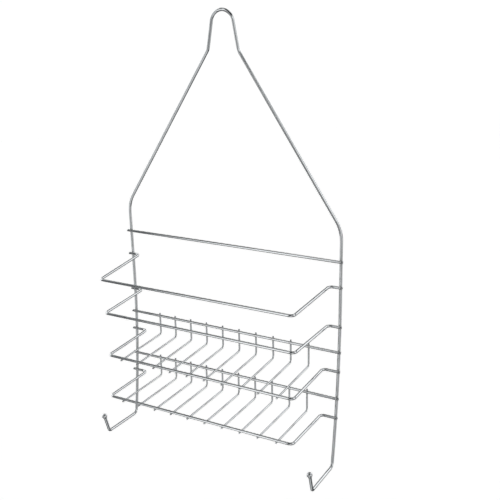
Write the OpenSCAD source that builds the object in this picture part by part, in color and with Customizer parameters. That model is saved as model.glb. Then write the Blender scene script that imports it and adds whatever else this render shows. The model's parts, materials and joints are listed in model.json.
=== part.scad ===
// Hanging shower caddy: a rack of welded round wire that hangs from a shower arm.
// One bent hanger wire carries a crossbar, four U-shaped rails, two back rails,
// two rows of shelf wires and a ball at the tip of each towel hook.
// The origin is the seat of the hanging loop, where it rests on the shower arm.
// +X is to the right, -Y towards the user and +Z up. Drops are measured down from the seat.

/* [Wires] */
// Diameter of the bent hanger wire
hanger_d = 3.6; // [3.2:0.1:4.2]
// Diameter of the crossbar, the rails and the back rails
rail_d = 3.2; // [2.8:0.1:3.8]
// Diameter of the shelf wires
shelf_wire_d = 2.2; // [1.8:0.1:2.6]
// Depth that two crossing wires sink into each other at a weld
weld_depth = 0.2; // [0.05:0.05:0.3]

/* [Hanging loop] */
// Radius of the loop at the top, to the wire's centre
loop_r = 13.6; // [12.8:0.1:16]
// Lean of the loop's sides from the vertical
loop_flare = 10.2; // [6:0.2:14]
// Drop to where the sides spread towards the shoulders
neck_drop = 40; // [36:1:50]
// Bend radius at the neck
neck_bend_r = 12; // [6:1:16]

/* [Hanger] */
// Distance between the centres of the two legs
leg_spacing = 280; // [260:2:320]
// Drop to the corner between shoulder and leg
shoulder_drop = 225.5; // [210:0.5:232]
// Bend radius at the shoulders
shoulder_bend_r = 40; // [20:1:46]
// Drop to where the straight leg starts to curve forward
curve_drop = 308.5; // [300:0.5:330]
// Forward lean that the leg has reached at the hooks
leg_lean = 9.5; // [4:0.5:12]

/* [Hooks] */
// Drop to the corner between leg and hook arm
hook_drop = 510; // [500:1:530]
// How far the outer corner of a hook stands in front of the hanger
hook_reach = 75; // [60:1:85]
// Rise of the hook arm over its length
hook_arm_rise = 3.7; // [0:0.1:8]
// Length of the tip, from the outer corner to the centre of the ball
hook_tip = 25.4; // [18:0.1:32]
// Forward lean of the tip from the vertical
hook_tip_lean = 16; // [5:1:30]
// Bend radius between leg and hook arm
hook_bend_r = 7; // [4:0.5:7]
// Bend radius between hook arm and tip
tip_bend_r = 4.5; // [4:0.5:7]
// Diameter of the ball on the tip
ball_d = 6.6; // [6:0.1:9]

/* [Crossbar and rails] */
// Length of wire that stands out past the centre of the leg
overhang = 3.3; // [2.5:0.1:6]
// Drop to the crossbar
crossbar_drop = 261; // [255:0.5:275]
// Drop to each rail at the legs, from the top one down
rail_drops = [291, 338, 392, 448.5]; // [285:0.5:460]
// How far the front of each rail stands in front of the hanger
rail_reaches = [87.5, 84, 85, 88]; // [70:0.5:100]
// Rise of each rail from the legs to its front
rail_rises = [-3.5, 0, 0, 3]; // [-5:0.5:5]
// Distance from the leg in to each rail's rear corner
rear_insets = [12, 13, 17.5, 17]; // [10:0.5:24]
// Distance from the leg in to each rail's front corner
front_insets = [16.5, 17, 18, 18]; // [10:0.5:26]
// Bend radius at the rails' corners
rail_bend_r = 5; // [3:0.5:7]

/* [Shelves] */
// Height of each back rail above its shelf's rim
back_rail_height = 23.5; // [12:0.5:40]
// Distance from one shelf wire to the next
shelf_wire_pitch = 22.87; // [18:0.01:23.5]
// Length of shelf wire that stands up past the centre of its back rail
shelf_wire_stub = 2.6; // [1.8:0.1:5]
// Length of shelf wire that stands out past the centre of its rim
shelf_wire_tip = 1.9; // [1.2:0.1:5]
// Bend radius at the back of a shelf wire
shelf_bend_r = 4; // [2.5:0.5:6]

/* [Hidden] */
SHELF_WIRES = 10;
function number(i) = str(i < 10 ? "0" : "", i);
$fn = 24;

// The upper and the lower shelf hang on the last two rails.
UPPER_RIM = 2;
LOWER_RIM = 3;
function back_rail_drop(rim) = rail_drops[rim] - back_rail_height;

leg_x = leg_spacing / 2;
leg_corner_z = -shoulder_drop;
// The leg's curve ends a little above the hook, so that the hook's bend has a straight lead-in.
curve_end_drop = hook_drop - 10;
leg_curve_r = (curve_end_drop - curve_drop) / sin(leg_lean);
// Place of the hanger wire's centre in front of the hanger's plane at a drop, as a negative y
function leg_y(drop) =
    drop <= curve_drop ? 0
    : drop <= curve_end_drop ? sqrt(leg_curve_r ^ 2 - (drop - curve_drop) ^ 2) - leg_curve_r
    : leg_y(curve_end_drop) - (drop - curve_end_drop) * tan(leg_lean);

// The loop's sides would meet at this height if the loop were a sharp corner.
loop_apex_z = hanger_d / 2 - loop_r + loop_r / sin(loop_flare);
neck_x = (loop_apex_z + neck_drop) * tan(loop_flare);
// Corner that stands for the leg's long curve
leg_curve_corner_z = -curve_drop - leg_curve_r * tan(leg_lean / 2);
// Distance from the ball's centre to the flat where it sits on the wire's end
ball_seat = 0.42 * ball_d;

// A bend is a hair thicker than the wire, and each straight laps this far into it.
bend_swell = 0.04;
bend_lap = 0.1;

// Centre distances of crossing wires
leg_to_rail = (hanger_d + rail_d) / 2 - weld_depth;
rail_to_shelf_wire = (rail_d + shelf_wire_d) / 2 - weld_depth;

function unit(v) = v / norm(v);
// An orthonormal frame at a point, from its X and Y directions
function frame_at(p, x, y) =
    let (z = cross(x, y))
    [[x.x, y.x, z.x, p.x], [x.y, y.y, z.y, p.y], [x.z, y.z, z.z, p.z], [0, 0, 0, 1]];
// Any direction square to the given one
function square_to(v) = unit(cross(v, abs(v.z) < 0.9 ? [0, 0, 1] : [1, 0, 0]));
// Angle that the wire turns through at corner i, and how far its arc reaches from the corner
function turn_at(p, i) = acos(unit(p[i] - p[i - 1]) * unit(p[i + 1] - p[i]));
function arc_reach(p, r, i) = r[i - 1] * tan(turn_at(p, i) / 2);
// Distance from corner i to where the straight beside it ends
function straight_inset(p, r, i) = i == 0 || i == len(p) - 1 ? 0 : arc_reach(p, r, i) - bend_lap;

// Round wire through the corners p, bent to radius r[i - 1] at each inner corner i
module bent_wire(p, r, d) {
    last = len(p) - 1;
    for (i = [0:last - 1]) {
        along = unit(p[i + 1] - p[i]);
        start = p[i] + along * straight_inset(p, r, i);
        end = p[i + 1] - along * straight_inset(p, r, i + 1);
        side = square_to(along);
        multmatrix(frame_at(start, side, cross(along, side))) cylinder(h = norm(end - start), d = d);
    }
    for (i = [1:last - 1]) {
        inward = unit(p[i] - p[i - 1]);
        outward = unit(p[i + 1] - p[i]);
        centre = p[i] + unit(outward - inward) * r[i - 1] / cos(turn_at(p, i) / 2);
        start = p[i] - inward * arc_reach(p, r, i);
        multmatrix(frame_at(centre, unit(start - centre), inward))
            rotate_extrude(angle = turn_at(p, i)) translate([r[i - 1], 0]) circle(d = d + bend_swell);
    }
}

// Straight round wire across the front of both legs
module cross_wire(drop) {
    half = leg_x + overhang;
    y = leg_y(drop) - leg_to_rail;
    translate([-half, y, -drop]) rotate([0, 90, 0]) cylinder(h = 2 * half, d = rail_d);
}

// Corners of one side of the hanger below the loop, from the neck to the end of the wire
function hook_corner() = [leg_x, -hook_reach, hook_arm_rise - hook_drop];
function tip_direction() = [0, -sin(hook_tip_lean), cos(hook_tip_lean)];
function side_corners() = [
    [neck_x, 0, -neck_drop],
    [leg_x, 0, leg_corner_z],
    [leg_x, 0, leg_curve_corner_z],
    [leg_x, leg_y(hook_drop), -hook_drop],
    hook_corner(),
    hook_corner() + tip_direction() * (hook_tip - ball_seat)
];
function mirrored(p) = [-p.x, p.y, p.z];
function reversed(list) = [for (i = [len(list) - 1:-1:0]) list[i]];

module hanger_frame() {
    side = side_corners();
    radii = [neck_bend_r, shoulder_bend_r, leg_curve_r, hook_bend_r, tip_bend_r];
    corners = concat(reversed([for (p = side) mirrored(p)]), [[0, 0, loop_apex_z]], side);
    color("silver") bent_wire(corners, concat(reversed(radii), [loop_r], radii), hanger_d);
}

module top_crossbar() color("silver") cross_wire(crossbar_drop);

module back_rail(rim) color("silver") cross_wire(back_rail_drop(rim));

// U-shaped rail i, with its ends turned out across the legs
module rail(i) {
    z = -rail_drops[i];
    rear_y = leg_y(rail_drops[i]) - leg_to_rail;
    half = [
        [leg_x + overhang, rear_y, z],
        [leg_x - rear_insets[i], rear_y, z],
        [leg_x - front_insets[i], -rail_reaches[i], z + rail_rises[i]]
    ];
    corners = concat([for (p = half) mirrored(p)], reversed(half));
    color("silver") bent_wire(corners, [for (i = [1:4]) rail_bend_r], rail_d);
}

// Shelf wire i of a shelf: it hangs behind the back rail and runs forward under the rim
module shelf_wire(rim, i) {
    x = (i - (SHELF_WIRES + 1) / 2) * shelf_wire_pitch;
    rear_y = leg_y(back_rail_drop(rim)) - leg_to_rail + rail_to_shelf_wire;
    rear_z = -rail_drops[rim] - rail_to_shelf_wire;
    corners = [
        [x, rear_y, shelf_wire_stub - back_rail_drop(rim)],
        [x, rear_y, rear_z],
        [x, -rail_reaches[rim] - shelf_wire_tip, rear_z + rail_rises[rim]]
    ];
    color("gainsboro") bent_wire(corners, [shelf_bend_r], shelf_wire_d);
}

// Ball on the right hook's tip, with a flat where the wire's end is welded to it
module hook_ball() {
    side = square_to(tip_direction());
    centre = hook_corner() + tip_direction() * hook_tip;
    color("silver") difference() {
        translate(centre) sphere(d = ball_d);
        multmatrix(frame_at(centre - tip_direction() * ball_d, side, cross(tip_direction(), side)))
            cylinder(h = ball_d - ball_seat, d = ball_d);
    }
}

hanger_frame();
top_crossbar();
rail(0);  // upper_guard_rail
rail(1);  // lower_guard_rail
rail(UPPER_RIM);  // upper_shelf_rim
rail(LOWER_RIM);  // lower_shelf_rim
back_rail(UPPER_RIM);  // upper_back_rail
back_rail(LOWER_RIM);  // lower_back_rail
for (i = [1:SHELF_WIRES]) {
    shelf_wire(UPPER_RIM, i);
    shelf_wire(LOWER_RIM, i);
}
mirror([1, 0, 0]) hook_ball();  // left_hook_ball
hook_ball();  // right_hook_ball
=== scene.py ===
import json
from math import asin, ceil, cos, pi, radians, sin, sqrt, tan

import bpy
from mathutils import Matrix, Vector
from mathutils.geometry import intersect_line_line
from mathutils.kdtree import KDTree


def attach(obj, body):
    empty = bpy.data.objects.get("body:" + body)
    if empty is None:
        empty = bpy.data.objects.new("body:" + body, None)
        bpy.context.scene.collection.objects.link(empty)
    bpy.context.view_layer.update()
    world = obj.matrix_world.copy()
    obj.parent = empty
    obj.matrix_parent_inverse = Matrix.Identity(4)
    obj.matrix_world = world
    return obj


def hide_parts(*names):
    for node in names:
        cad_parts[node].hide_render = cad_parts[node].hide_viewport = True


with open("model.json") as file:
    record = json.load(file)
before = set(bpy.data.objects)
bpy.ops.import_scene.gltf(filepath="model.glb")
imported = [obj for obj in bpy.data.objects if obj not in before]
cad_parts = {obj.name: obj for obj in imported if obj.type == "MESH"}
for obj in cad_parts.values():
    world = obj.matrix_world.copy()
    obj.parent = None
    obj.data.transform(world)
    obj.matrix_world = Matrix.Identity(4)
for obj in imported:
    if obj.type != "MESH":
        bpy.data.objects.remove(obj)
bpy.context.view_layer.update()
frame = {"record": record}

MM = 0.001

# Wires
HANGER_D = 3.6
RAIL_D = 3.2
SHELF_WIRE_D = 2.2
WELD_DEPTH = 0.2
# Hanging loop and hanger
LOOP_R = 13.6
LOOP_FLARE = radians(10.2)
NECK_DROP = 40
NECK_BEND_R = 12
LEG_SPACING = 280
SHOULDER_DROP = 225.5
SHOULDER_BEND_R = 40
CURVE_DROP = 308.5
LEG_LEAN = radians(9.5)
# Hooks
HOOK_DROP = 510
HOOK_REACH = 75
HOOK_ARM_RISE = 3.7
HOOK_TIP = 25.4
HOOK_TIP_LEAN = radians(16)
HOOK_BEND_R = 7
TIP_BEND_R = 4.5
BALL_D = 6.6
# Crossbar, rails and back rails
OVERHANG = 3.3
CROSSBAR_DROP = 261
RAIL_NODES = ("upper_guard_rail", "lower_guard_rail", "upper_shelf_rim", "lower_shelf_rim")
RAIL_DROPS = (291, 338, 392, 448.5)
RAIL_REACHES = (87.5, 84, 85, 88)
RAIL_RISES = (-3.5, 0, 0, 3)
REAR_INSETS = (12, 13, 17.5, 17)
FRONT_INSETS = (16.5, 17, 18, 18)
RAIL_BEND_R = 5
BACK_RAIL_HEIGHT = 23.5
# Shelf wires, and the rail that is each shelf's rim
SHELF_RIMS = {"upper": 2, "lower": 3}
SHELF_WIRES = 10
SHELF_WIRE_PITCH = 22.87
SHELF_WIRE_STUB = 2.6
SHELF_WIRE_TIP = 1.9
SHELF_BEND_R = 4

# Worked out from the above, as in the CAD source
LEG_X = LEG_SPACING / 2
CURVE_END_DROP = HOOK_DROP - 10
LEG_CURVE_R = (CURVE_END_DROP - CURVE_DROP) / sin(LEG_LEAN)
LEG_TO_RAIL = (HANGER_D + RAIL_D) / 2 - WELD_DEPTH
RAIL_TO_SHELF_WIRE = (RAIL_D + SHELF_WIRE_D) / 2 - WELD_DEPTH
LOOP_APEX_Z = HANGER_D / 2 - LOOP_R + LOOP_R / sin(LOOP_FLARE)
HOOK_CORNER = Vector((LEG_X, -HOOK_REACH, HOOK_ARM_RISE - HOOK_DROP))
TIP_DIRECTION = Vector((0, -sin(HOOK_TIP_LEAN), cos(HOOK_TIP_LEAN)))
NEARLY_PARALLEL = 0.01
X_AXIS = Vector((1, 0, 0))
Z_AXIS = Vector((0, 0, 1))

# Fineness of the meshes
SIDES = 32
STATION_STEP = 2.5
BEND_STEP = radians(5)
EASE_STEPS = 4
END_EASE = 0.35
WELD_SPOKES = 28
WELD_STEPS = 8
WELD_SEARCH_STEPS = 24
NECK_STEPS = 6
BALL_STEPS = 24

# A weld's fillet reaches out to where the gap between the two wires has grown to this.
WELD_GAP = 0.5
# The search for that place stays inside this share of the wires' radius.
WELD_REACH = 0.98
# Share of half the gap by which a fillet's closing edge is set in under its rim
WELD_INSET = 1.2
# Radius of the concave neck between a hook's wire and its ball
NECK_R = 0.9
# The neck starts this far back along the wire, and this far inside it.
NECK_OVERLAP = 0.5
NECK_SINK = 0.1
# The plating is duller this far around a weld.
WELD_HALO = 4.5


# ---- Places ----

def leg_y(drop):
    """Place of the leg's centre at a drop: its long curve runs forward, to -Y."""
    if drop <= CURVE_DROP:
        return 0
    if drop <= CURVE_END_DROP:
        return sqrt(LEG_CURVE_R**2 - (drop - CURVE_DROP) ** 2) - LEG_CURVE_R
    return leg_y(CURVE_END_DROP) - (drop - CURVE_END_DROP) * tan(LEG_LEAN)


def leg_direction(drop):
    """Direction of the leg at a drop, downwards."""
    slope = leg_y(drop + 0.5) - leg_y(drop - 0.5)
    return Vector((0, slope, -1)).normalized()


def back_rail_drop(rim):
    """Drop of the back rail that belongs to a shelf's rim."""
    return RAIL_DROPS[rim] - BACK_RAIL_HEIGHT


def mirrored(p):
    """The point's mirror image on the caddy's other side."""
    return Vector((-p.x, p.y, p.z))


def hanger_corners():
    """Corners of the bent hanger wire from the left hook's tip over the loop to the right one's."""
    neck = Vector(((LOOP_APEX_Z + NECK_DROP) * tan(LOOP_FLARE), 0, -NECK_DROP))
    shoulder = Vector((LEG_X, 0, -SHOULDER_DROP))
    curve_corner = Vector((LEG_X, 0, -CURVE_DROP - LEG_CURVE_R * tan(LEG_LEAN / 2)))
    heel = Vector((LEG_X, leg_y(HOOK_DROP), -HOOK_DROP))
    right = [neck, shoulder, curve_corner, heel, HOOK_CORNER, HOOK_CORNER + TIP_DIRECTION * HOOK_TIP]
    radii = [NECK_BEND_R, SHOULDER_BEND_R, LEG_CURVE_R, HOOK_BEND_R, TIP_BEND_R]
    left = [mirrored(p) for p in reversed(right)]
    return left + [Vector((0, 0, LOOP_APEX_Z))] + right, radii[::-1] + [LOOP_R] + radii


def cross_wire_ends(drop):
    """Both ends of a straight wire that runs across the front of the legs."""
    right = Vector((LEG_X + OVERHANG, leg_y(drop) - LEG_TO_RAIL, -drop))
    return [mirrored(right), right]


def rail_corners(i):
    """Corners of U-shaped rail i, with its ends turned out across the legs."""
    rear_y = leg_y(RAIL_DROPS[i]) - LEG_TO_RAIL
    front_z = RAIL_RISES[i] - RAIL_DROPS[i]
    right = [
        Vector((LEG_X + OVERHANG, rear_y, -RAIL_DROPS[i])),
        Vector((LEG_X - REAR_INSETS[i], rear_y, -RAIL_DROPS[i])),
        Vector((LEG_X - FRONT_INSETS[i], -RAIL_REACHES[i], front_z)),
    ]
    return [mirrored(p) for p in right] + right[::-1]


def shelf_wire_corners(rim, x):
    """Corners of a shelf wire, which hangs behind the back rail and runs forward under the rim."""
    drop = back_rail_drop(rim)
    rear_y = leg_y(drop) - LEG_TO_RAIL + RAIL_TO_SHELF_WIRE
    rear_z = -RAIL_DROPS[rim] - RAIL_TO_SHELF_WIRE
    return [
        Vector((x, rear_y, SHELF_WIRE_STUB - drop)),
        Vector((x, rear_y, rear_z)),
        Vector((x, -RAIL_REACHES[rim] - SHELF_WIRE_TIP, rear_z + RAIL_RISES[rim])),
    ]


def shelf_wire_xs():
    """Places of a shelf's wires from left to right."""
    return [(i - (SHELF_WIRES - 1) / 2) * SHELF_WIRE_PITCH for i in range(SHELF_WIRES)]


# ---- Meshes ----

def bent_path(corners, bend_radii=()):
    """Points along a wire through the corners, with an arc of the given radius at each inner one."""
    path = [corners[0]]

    def add_straight(end):
        start = path[-1]
        steps = max(1, ceil((end - start).length / STATION_STEP))
        path.extend(start.lerp(end, i / steps) for i in range(1, steps + 1))

    for before, corner, after, radius in zip(corners, corners[1:], corners[2:], bend_radii):
        inward = (corner - before).normalized()
        outward = (after - corner).normalized()
        turn = inward.angle(outward)
        centre = corner + (outward - inward).normalized() * radius / cos(turn / 2)
        arc_start = corner - inward * radius * tan(turn / 2)
        add_straight(arc_start)
        steps = max(ceil(turn / BEND_STEP), ceil(radius * turn / STATION_STEP))
        for i in range(1, steps + 1):
            angle = turn * i / steps
            path.append(centre + (arc_start - centre) * cos(angle) + inward * radius * sin(angle))
    add_straight(corners[-1])
    return path


def closed_rows(rows, first_pole, last_pole):
    """Points and faces of a closed solid whose rings of points follow each other between two poles."""
    count = len(rows[0])
    points = [p for row in rows for p in row] + [first_pole, last_pole]
    last = (len(rows) - 1) * count
    pole_a, pole_b = len(points) - 2, len(points) - 1
    faces = []
    for k in range(count):
        n = (k + 1) % count
        faces.append((pole_a, n, k))
        for row in range(0, last, count):
            faces.append((row + k, row + n, row + count + n, row + count + k))
        faces.append((pole_b, last + k, last + n))
    return points, faces


def ring(centre, tangent, side, radius):
    """Points of a round section, anticlockwise about the tangent from its side direction."""
    up = tangent.cross(side)
    angles = [2 * pi * k / SIDES for k in range(SIDES)]
    return [centre + (side * cos(a) + up * sin(a)) * radius for a in angles]


def end_profile(radius):
    """(inset, radius) of the rings from the middle of a wire's flat end out over its eased edge."""
    angles = [pi / 2 * (1 - i / EASE_STEPS) for i in range(EASE_STEPS + 1)]
    eased = [(END_EASE * (1 - sin(a)), radius - END_EASE * (1 - cos(a))) for a in angles]
    return [(0, radius / 2)] + eased


def tube(path, diameter):
    """A round wire along the path: its points, faces and the points' places on the straight wire."""
    radius = diameter / 2
    first = (path[1] - path[0]).normalized()
    last = (path[-1] - path[-2]).normalized()
    profile = end_profile(radius)
    stations = [(path[0] + first * inset, first, r) for inset, r in profile]
    for before, at, after in zip(path, path[1:], path[2:]):
        stations.append((at, (after - before).normalized(), radius))
    stations += [(path[-1] - last * inset, last, r) for inset, r in reversed(profile)]

    rows, straight_rows = [], []
    side, travelled, previous = first.orthogonal(), 0, path[0]
    for centre, tangent, r in stations:
        side = (side - tangent * side.dot(tangent)).normalized()
        travelled += (centre - previous).length
        previous = centre
        rows.append(ring(centre, tangent, side, r))
        straight_rows.append(ring(Z_AXIS * travelled, Z_AXIS, X_AXIS, r))
    points, faces = closed_rows(rows, path[0], path[-1])
    straight_points, _ = closed_rows(straight_rows, Z_AXIS * 0, Z_AXIS * travelled)
    return points, faces, straight_points


def weld_fillet(weld):
    """A concave fillet all round the contact of two crossing wires, closed inside them."""
    (point_a, along_a, radius_a), (point_b, along_b, radius_b) = weld
    near_a, near_b = intersect_line_line(point_a, point_a + along_a, point_b, point_b + along_b)
    apart = (near_b - near_a).length
    normal = (near_b - near_a).normalized()
    middle = near_a + normal * (radius_a + apart - radius_b) / 2
    height_a = (near_a - middle).dot(normal)
    height_b = (near_b - middle).dot(normal)

    def surfaces(spoke, out):
        """Heights of the two wires' facing surfaces, this far out along a spoke."""
        across_a = out * spoke.cross(along_a).length
        across_b = out * spoke.cross(along_b).length
        return height_a + sqrt(radius_a**2 - across_a**2), height_b - sqrt(radius_b**2 - across_b**2)

    rows = [[] for _ in range(WELD_STEPS + 3)]
    for k in range(WELD_SPOKES):
        angle = 2 * pi * k / WELD_SPOKES
        spoke = along_a * cos(angle) + normal.cross(along_a) * sin(angle)
        rim_a = radius_a / max(spoke.cross(along_a).length, NEARLY_PARALLEL)
        rim_b = radius_b / max(spoke.cross(along_b).length, NEARLY_PARALLEL)
        near, far = 0, min(rim_a, rim_b) * WELD_REACH
        for _ in range(WELD_SEARCH_STEPS):
            out = (near + far) / 2
            low, high = surfaces(spoke, out)
            near, far = (out, far) if high - low < WELD_GAP else (near, out)
        middle_height, half_gap = (low + high) / 2, (high - low) / 2
        buried = out - half_gap * WELD_INSET
        low_buried, high_buried = surfaces(spoke, buried)
        rows[0].append(middle + spoke * buried + normal * (low_buried - half_gap / 2))
        for i in range(WELD_STEPS + 1):
            turn = pi * i / WELD_STEPS
            rise = middle_height - half_gap * cos(turn)
            rows[i + 1].append(middle + spoke * (out - half_gap * sin(turn)) + normal * rise)
        rows[-1].append(middle + spoke * buried + normal * (high_buried + half_gap / 2))
    return closed_rows(rows, middle - normal * WELD_DEPTH / 4, middle + normal * WELD_DEPTH / 4)


def ball(centre, axis):
    """The hook's ball, with a small concave neck on the wire behind it."""
    ball_r, wire_r = BALL_D / 2, HANGER_D / 2
    lean = asin((wire_r + NECK_R) / (ball_r + NECK_R))
    back = (ball_r + NECK_R) * cos(lean)
    neck_turns = [(pi / 2 - lean) * i / NECK_STEPS for i in range(NECK_STEPS + 1)]
    ball_turns = [lean + (pi - lean) * i / BALL_STEPS for i in range(1, BALL_STEPS)]
    profile = [(-back - NECK_OVERLAP, wire_r - NECK_SINK)]
    profile += [(NECK_R * sin(a) - back, wire_r + NECK_R - NECK_R * cos(a)) for a in neck_turns]
    profile += [(-ball_r * cos(a), ball_r * sin(a)) for a in ball_turns]
    rows = [ring(centre + axis * s, axis, X_AXIS, r) for s, r in profile]
    return closed_rows(rows, centre + axis * profile[0][0], centre + axis * ball_r)


def joined(solids):
    """Points and faces of several solids as one mesh."""
    points, faces = [], []
    for solid_points, solid_faces in solids:
        faces += [tuple(len(points) + v for v in face) for face in solid_faces]
        points += solid_points
    return points, faces


# ---- Welds ----

def leg_welds(drop):
    """Where a wire that runs across both legs at a drop is welded to them."""
    for x in (-LEG_X, LEG_X):
        leg = (Vector((x, leg_y(drop), -drop)), leg_direction(drop), HANGER_D / 2)
        wire = (Vector((x, leg_y(drop) - LEG_TO_RAIL, -drop)), X_AXIS, RAIL_D / 2)
        yield leg, wire


def back_welds(rim):
    """Where a shelf's wires are welded to its back rail."""
    for x in shelf_wire_xs():
        _, heel, _ = shelf_wire_corners(rim, x)
        drop = back_rail_drop(rim)
        shelf_wire = (Vector((x, heel.y, -drop)), Z_AXIS, SHELF_WIRE_D / 2)
        back_rail = (Vector((x, heel.y - RAIL_TO_SHELF_WIRE, -drop)), X_AXIS, RAIL_D / 2)
        yield shelf_wire, back_rail


def rim_welds(rim):
    """Where a shelf's wires are welded under its rim."""
    for x in shelf_wire_xs():
        _, heel, tip = shelf_wire_corners(rim, x)
        front = Vector((x, -RAIL_REACHES[rim], RAIL_RISES[rim] - RAIL_DROPS[rim]))
        yield (heel, (tip - heel).normalized(), SHELF_WIRE_D / 2), (front, X_AXIS, RAIL_D / 2)


def all_welds():
    """Each node that others are welded to, with its welds."""
    welds = {"top_crossbar": list(leg_welds(CROSSBAR_DROP))}
    for node, drop in zip(RAIL_NODES, RAIL_DROPS):
        welds[node] = list(leg_welds(drop))
    for shelf, rim in SHELF_RIMS.items():
        welds[RAIL_NODES[rim]] += rim_welds(rim)
        back_rail = f"{shelf}_back_rail"
        welds[back_rail] = [*leg_welds(back_rail_drop(rim)), *back_welds(rim)]
    return welds


# ---- Pieces ----

def add_object(name, points, faces):
    """A smooth-shaded object in the scene, from points in millimetres."""
    mesh = bpy.data.meshes.new(name)
    mesh.from_pydata([p * MM for p in points], [], faces)
    mesh.polygons.foreach_set("use_smooth", [True] * len(mesh.polygons))
    mesh.update()
    piece = bpy.data.objects.new(name, mesh)
    bpy.context.scene.collection.objects.link(piece)
    return piece


def add_attribute(piece, name, kind, field, values):
    """Stores a value for each of the piece's points, for its material to read."""
    attribute = piece.data.attributes.new(name, kind, "POINT")
    attribute.data.foreach_set(field, values)


def finish_piece(piece, slot, material, straight_points, halos):
    """Gives a piece its place on the straight wire, its nearness to a weld, its material and its body."""
    flat = [v * MM for p in straight_points for v in p]
    add_attribute(piece, "wire_space", "FLOAT_VECTOR", "vector", flat)
    add_attribute(piece, "weld_near", "FLOAT", "value", halos)
    piece.data.materials.append(material)
    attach(piece, "root")


def weld_halos(points, weld_tree):
    """1 at a weld and 0 from WELD_HALO away."""
    return [max(0, 1 - weld_tree.find(p)[2] / WELD_HALO) for p in points]


def wires():
    """(node, path, diameter) of every wire."""
    corners, radii = hanger_corners()
    yield "hanger_frame", bent_path(corners, radii), HANGER_D
    yield "top_crossbar", bent_path(cross_wire_ends(CROSSBAR_DROP)), RAIL_D
    for i, node in enumerate(RAIL_NODES):
        yield node, bent_path(rail_corners(i), [RAIL_BEND_R] * 4), RAIL_D
    for shelf, rim in SHELF_RIMS.items():
        yield f"{shelf}_back_rail", bent_path(cross_wire_ends(back_rail_drop(rim))), RAIL_D
        for i, x in enumerate(shelf_wire_xs()):
            path = bent_path(shelf_wire_corners(rim, x), [SHELF_BEND_R])
            yield f"{shelf}_shelf_wire_{i + 1:02d}", path, SHELF_WIRE_D


def build_pieces(materials):
    """Makes every wire, every group of welds and both balls, in the places of the CAD nodes."""
    slots = {part["node"]: part["material_slot"] for part in frame["record"]["subparts"]}
    welds = all_welds()
    spots = [(wire_a[0] + wire_b[0]) / 2 for group in welds.values() for wire_a, wire_b in group]
    weld_tree = KDTree(len(spots))
    for i, spot in enumerate(spots):
        weld_tree.insert(spot, i)
    weld_tree.balance()

    for node, path, diameter in wires():
        points, faces, straight_points = tube(path, diameter)
        piece = add_object(f"{node}_chromed", points, faces)
        finish_piece(piece, slots[node], materials[slots[node]], straight_points,
                     weld_halos(points, weld_tree))
        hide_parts(node)
    for node, group in welds.items():
        points, faces = joined(weld_fillet(weld) for weld in group)
        piece = add_object(f"{node}_welds", points, faces)
        finish_piece(piece, slots[node], materials["weld"], points, [1] * len(points))
    for side, place in (("left", mirrored), ("right", Vector)):
        node = f"{side}_hook_ball"
        points, faces = ball(place(HOOK_CORNER + TIP_DIRECTION * HOOK_TIP), TIP_DIRECTION)
        piece = add_object(f"{node}_chromed", points, faces)
        finish_piece(piece, slots[node], materials[slots[node]], points, [0] * len(points))
        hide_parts(node)


# ---- Materials ----

class Shader:
    """Builds a tree of shader nodes: each call adds one node and gives its output."""

    def __init__(self, tree):
        self.tree = tree

    def node(self, kind, values=(), **settings):
        """Adds a node. Values fill its inputs in order or by name, and settings are its own properties."""
        node = self.tree.nodes.new(f"ShaderNode{kind}")
        for name, setting in settings.items():
            setattr(node, name, setting)
        pairs = values.items() if isinstance(values, dict) else enumerate(values)
        for key, value in pairs:
            self.feed(node.inputs[key], value)
        return node

    def feed(self, socket, value):
        """Links the socket to another node's output, or sets its constant value."""
        if isinstance(value, bpy.types.NodeSocket):
            self.tree.links.new(value, socket)
        else:
            socket.default_value = value

    def math(self, operation, *values):
        """The result of a math operation on values or sockets."""
        return self.node("Math", values, operation=operation).outputs[0]

    def ramp(self, value, low, high, to_low, to_high):
        """The value eased from one range to another, and held at its ends."""
        values = {"Value": value, "From Min": low, "From Max": high, "To Min": to_low, "To Max": to_high}
        return self.node("MapRange", values, interpolation_type="SMOOTHSTEP").outputs[0]

    def noise(self, place, size, detail=2, stretch=1):
        """Noise with features of a size in metres, drawn out along the wire."""
        scaled = self.node("Mapping", {"Vector": place, "Scale": (1, 1, 1 / stretch)}).outputs[0]
        return self.node("TexNoise", {"Vector": scaled, "Scale": 1 / size, "Detail": detail}).outputs["Fac"]

    def blend(self, factor, colour_a, colour_b):
        """Colour a where the factor is 0, and colour b where it is 1."""
        # A Mix node's inputs 6 and 7 and its output 2 are the ones for colours.
        node = self.node("Mix", data_type="RGBA")
        for place, value in ((0, factor), (6, colour_a), (7, colour_b)):
            self.feed(node.inputs[place], value)
        return node.outputs[2]

    def bump(self, height, distance, normal=None):
        """A normal bent by the height, on top of another normal if there is one."""
        values = {"Height": height, "Distance": distance}
        if normal:
            values["Normal"] = normal
        return self.node("Bump", values).outputs[0]


# Chrome: sizes of its features and heights of its bumps, in metres
PATCH_SIZE = 0.03
DRAW_LINE_SIZE = 0.00035
DRAW_LINE_STRETCH = 60
WAVE_SIZE = 0.0025
WAVE_STRETCH = 2
GRIT_SIZE = 0.0005
WAVE_DEPTH = 0.00003
DRAW_LINE_DEPTH = 0.000012
FINE_LINE_DEPTH = 0.000004
GRIT_DEPTH = 0.00006
# Roughness away from the welds, of the wires and balls and of the fillets
PLATE_ROUGHNESS = 0.07
FILLET_ROUGHNESS = 0.12
# Roughness that dull patches add, and the least and most that a weld's grit adds
PATCH_DULLNESS = 0.05
WELD_DULLNESS = (0.12, 0.3)
# Shares of the plate's tint that are left where it is worn, smoky, or on a fillet
WORN = 0.93
SMOKY = (0.80, 0.78, 0.76)
FILLET_SHADE = 0.9


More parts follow.
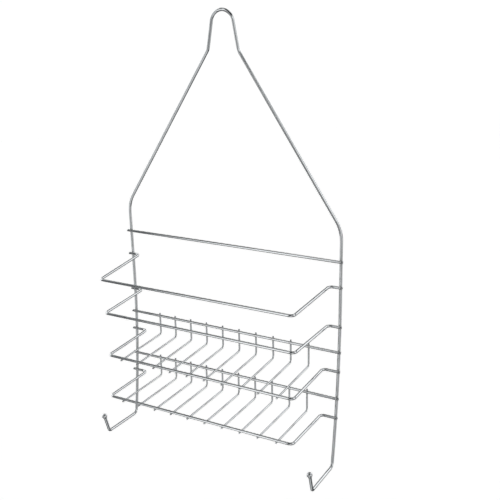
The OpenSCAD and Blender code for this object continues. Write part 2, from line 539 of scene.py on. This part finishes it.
def chrome(name, tint, roughness, line_depth):
    """Bright chrome plate over drawn wire, rougher and smokier around the welds."""
    material = bpy.data.materials.new(name)
    material.use_nodes = True
    shader = Shader(material.node_tree)
    surface = material.node_tree.nodes["Principled BSDF"]
    wire_space = shader.node("Attribute", attribute_name="wire_space").outputs["Vector"]
    weld_near = shader.node("Attribute", attribute_name="weld_near").outputs["Fac"]

    patches = shader.noise(wire_space, PATCH_SIZE)
    draw_lines = shader.noise(wire_space, DRAW_LINE_SIZE, detail=3, stretch=DRAW_LINE_STRETCH)
    waves = shader.noise(wire_space, WAVE_SIZE, stretch=WAVE_STRETCH)
    grit = shader.noise(wire_space, GRIT_SIZE, detail=4)

    # Handling has left the plate a little duller in patches.
    dull_patches = shader.ramp(patches, 0.45, 0.7, 0, PATCH_DULLNESS)
    weld_dullness = shader.ramp(grit, 0.3, 0.7, *WELD_DULLNESS)
    dull_welds = shader.math("MULTIPLY", weld_near, weld_dullness)
    dullness = shader.math("ADD", dull_patches, dull_welds)
    shader.feed(surface.inputs["Roughness"], shader.math("ADD", dullness, roughness))

    full = (*tint, 1)
    worn = (*(c * WORN for c in tint), 1)
    smoky = (*(c * shade for c, shade in zip(tint, SMOKY)), 1)
    base = shader.blend(shader.ramp(patches, 0.35, 0.65, 0, 1), full, worn)
    shader.feed(surface.inputs["Base Color"], shader.blend(weld_near, base, smoky))
    surface.inputs["Metallic"].default_value = 1

    waved = shader.bump(waves, WAVE_DEPTH)
    drawn = shader.bump(draw_lines, line_depth, waved)
    gritty = shader.bump(shader.math("MULTIPLY", grit, weld_near), GRIT_DEPTH, drawn)
    shader.feed(surface.inputs["Normal"], gritty)
    return material


def chrome_materials():
    """A material for each slot of the record, and a duller one for the welds."""
    tints = {entry["slot"]: entry["base_color"] for entry in frame["record"]["materials"]}
    materials = {}
    for slot, tint in tints.items():
        line_depth = FINE_LINE_DEPTH if slot == "hook_ball" else DRAW_LINE_DEPTH
        materials[slot] = chrome(f"{slot}_chrome", tint, PLATE_ROUGHNESS, line_depth)
    fillet_tint = [c * FILLET_SHADE for c in tints["rail_wire"]]
    materials["weld"] = chrome("weld_chrome", fillet_tint, FILLET_ROUGHNESS, FINE_LINE_DEPTH)
    return materials


# ---- Studio ----

# Soft boxes and black cards, as rectangles of directions seen from the caddy, in degrees. Azimuth 0 is
# straight behind it, +Y, and 90 its right, +X. A box's power is its brightness, and a card's is the share
# of the light that it takes away.
SOFT_BOXES = (
    # azimuth, elevation, half width, half height, power
    (-78, 14, 42, 35, 1.25),  # the big one on the left
    (-152.5, 5, 6, 42, 1.1),  # a strip on the camera's left
    (21, 17, 27, 21, 1.15),  # behind, to the right
    (115, 15, 41, 28, 1.02),  # on the right
    (154, -48, 38, 34, 0.56),  # the table in front
    (-16, 59, 73, 11, 1.1),  # a bar high up behind
    (69, -22, 38, 10, 0.54),  # the right one's light on the table
    (-84, -56, 25, 8, 0.74),  # the left one's light on the table
)
BLACK_CARDS = (
    (-32, -65, 41, 26, 0.86),  # low, behind
    (-47, -5, 7, 22, 0.9),  # upright, behind to the left
    (-45, 46, 33, 14, 0.98),  # over the left box
    (-41, -16, 27, 13, 0.46),  # under the left box
    (152, 49, 49, 16, 0.95),  # over the camera
    (126, -12, 22, 31, 0.6),  # on the camera's right
    (-90, -1, 10, 9, 0.5),  # in the left box, so that wires seen end-on from the right still show
)
# The most that a panel's edge is softened. A narrow panel gets a quarter of its half size.
PANEL_SOFTNESS = radians(6)
ROOM_BRIGHTNESS = 0.1
ROOM_TINT = (0.94, 0.99, 1.03, 1)
LAMP_TINT = (0.985, 0.998, 1, 1)
BACKDROP = (1, 1, 1, 1)
BACKDROP_GLOW = 1.02


def panel(shader, direction, azimuth, elevation, half_width, half_height):
    """1 inside a rectangle of directions and 0 outside it, with soft edges."""
    turn = {"Vector": direction, "Angle": radians(azimuth)}
    turned = shader.node("VectorRotate", turn, rotation_type="Z_AXIS").outputs[0]
    x, y, z = shader.node("SeparateXYZ", [turned]).outputs
    across = shader.math("ABSOLUTE", shader.math("ARCTAN2", x, y))
    above = shader.math("SUBTRACT", shader.math("ARCSINE", z), radians(elevation))
    height = shader.math("ABSOLUTE", above)
    inside = 1
    for angle, half in ((across, radians(half_width)), (height, radians(half_height))):
        softness = min(PANEL_SOFTNESS, half / 4)
        edge = shader.ramp(angle, half - softness, half + softness, 1, 0)
        inside = shader.math("MULTIPLY", inside, edge)
    return inside


def build_world():
    """A dim room with soft boxes and black cards. The camera itself sees only a white backdrop."""
    world = bpy.data.worlds.new("studio")
    world.use_nodes = True
    shader = Shader(world.node_tree)
    direction = shader.node("TexCoord").outputs["Generated"]
    lamps = 0
    for *place, power in SOFT_BOXES:
        lamp = shader.math("MULTIPLY", panel(shader, direction, *place), power)
        lamps = shader.math("ADD", lamps, lamp)
    kept = 1
    for *place, power in BLACK_CARDS:
        shade = shader.math("MULTIPLY", panel(shader, direction, *place), power)
        kept = shader.math("MULTIPLY", kept, shader.math("SUBTRACT", 1, shade))
    lamp_power = shader.math("MULTIPLY", lamps, kept)
    room_power = shader.math("MULTIPLY", kept, ROOM_BRIGHTNESS)
    lamp_light = shader.node("Background", [LAMP_TINT, lamp_power]).outputs[0]
    room_light = shader.node("Background", [ROOM_TINT, room_power]).outputs[0]
    studio = shader.node("AddShader", [lamp_light, room_light]).outputs[0]
    backdrop = shader.node("Background", [BACKDROP, BACKDROP_GLOW]).outputs[0]
    camera_ray = shader.node("LightPath").outputs["Is Camera Ray"]
    seen = shader.node("MixShader", [camera_ray, studio, backdrop]).outputs[0]
    shader.feed(world.node_tree.nodes["World Output"].inputs["Surface"], seen)
    bpy.context.scene.world = world


FLOOR_Z = -1.2
FLOOR_RADIUS = 6
FLOOR_SIDES = 96
# Added to what the studio gives the floor, this brings it just to white, like the backdrop.
FLOOR_GLOW = 0.6
FLOOR_GLOW_TINT = (1, 0.99, 0.98, 1)
FLOOR_GREYS = ((0.9, 0.9, 0.9, 1), (0.93, 0.93, 0.93, 1))
FLOOR_MOTTLE_SIZE = 0.4


def build_floor():
    """A wide white floor, far below the hooks and lit evenly enough to run into the backdrop."""
    mesh = bpy.data.meshes.new("floor")
    angles = [2 * pi * i / FLOOR_SIDES for i in range(FLOOR_SIDES)]
    rim = [(FLOOR_RADIUS * cos(a), FLOOR_RADIUS * sin(a), FLOOR_Z) for a in angles]
    mesh.from_pydata(rim, [], [tuple(range(FLOOR_SIDES))])
    floor = bpy.data.objects.new("floor", mesh)
    bpy.context.scene.collection.objects.link(floor)
    # The wires reflect the studio's own table, in its place.
    floor.visible_glossy = False
    material = bpy.data.materials.new("white_floor")
    material.use_nodes = True
    shader = Shader(material.node_tree)
    surface = material.node_tree.nodes["Principled BSDF"]
    place = shader.node("TexCoord").outputs["Object"]
    mottle = shader.ramp(shader.noise(place, FLOOR_MOTTLE_SIZE), 0.3, 0.7, 0, 1)
    shader.feed(surface.inputs["Base Color"], shader.blend(mottle, *FLOOR_GREYS))
    surface.inputs["Roughness"].default_value = 0.8
    surface.inputs["Specular IOR Level"].default_value = 0.1
    surface.inputs["Emission Color"].default_value = FLOOR_GLOW_TINT
    surface.inputs["Emission Strength"].default_value = FLOOR_GLOW
    mesh.materials.append(material)


# ---- Camera ----

CAMERA_AZIMUTH = radians(28.55)
CAMERA_ELEVATION = radians(18.85)
CAMERA_ROLL = radians(-1.27)
CAMERA_DISTANCE = 0.9059
CAMERA_AIM = Vector((0.0322, -0.0084, -0.2606))
FOCAL_LENGTH = 57.24
SENSOR_WIDTH = 36


def build_camera():
    """The camera, turned about the caddy and rolled a little."""
    back = Vector((sin(CAMERA_AZIMUTH) * cos(CAMERA_ELEVATION),
                   -cos(CAMERA_AZIMUTH) * cos(CAMERA_ELEVATION), sin(CAMERA_ELEVATION)))
    level = Vector((cos(CAMERA_AZIMUTH), sin(CAMERA_AZIMUTH), 0))
    upright = back.cross(level)
    right = level * cos(CAMERA_ROLL) + upright * sin(CAMERA_ROLL)
    up = upright * cos(CAMERA_ROLL) - level * sin(CAMERA_ROLL)
    camera = bpy.data.objects.new("camera", bpy.data.cameras.new("camera"))
    camera.data.lens = FOCAL_LENGTH
    camera.data.sensor_width = SENSOR_WIDTH
    place = Matrix.Translation(CAMERA_AIM + back * CAMERA_DISTANCE)
    camera.matrix_world = place @ Matrix((right, up, back)).transposed().to_4x4()
    bpy.context.scene.collection.objects.link(camera)
    bpy.context.scene.camera = camera


# ---- Scene ----

bpy.context.scene.view_settings.view_transform = "Standard"
build_camera()
build_world()
build_floor()
build_pieces(chrome_materials())

bpy.context.view_layer.update()
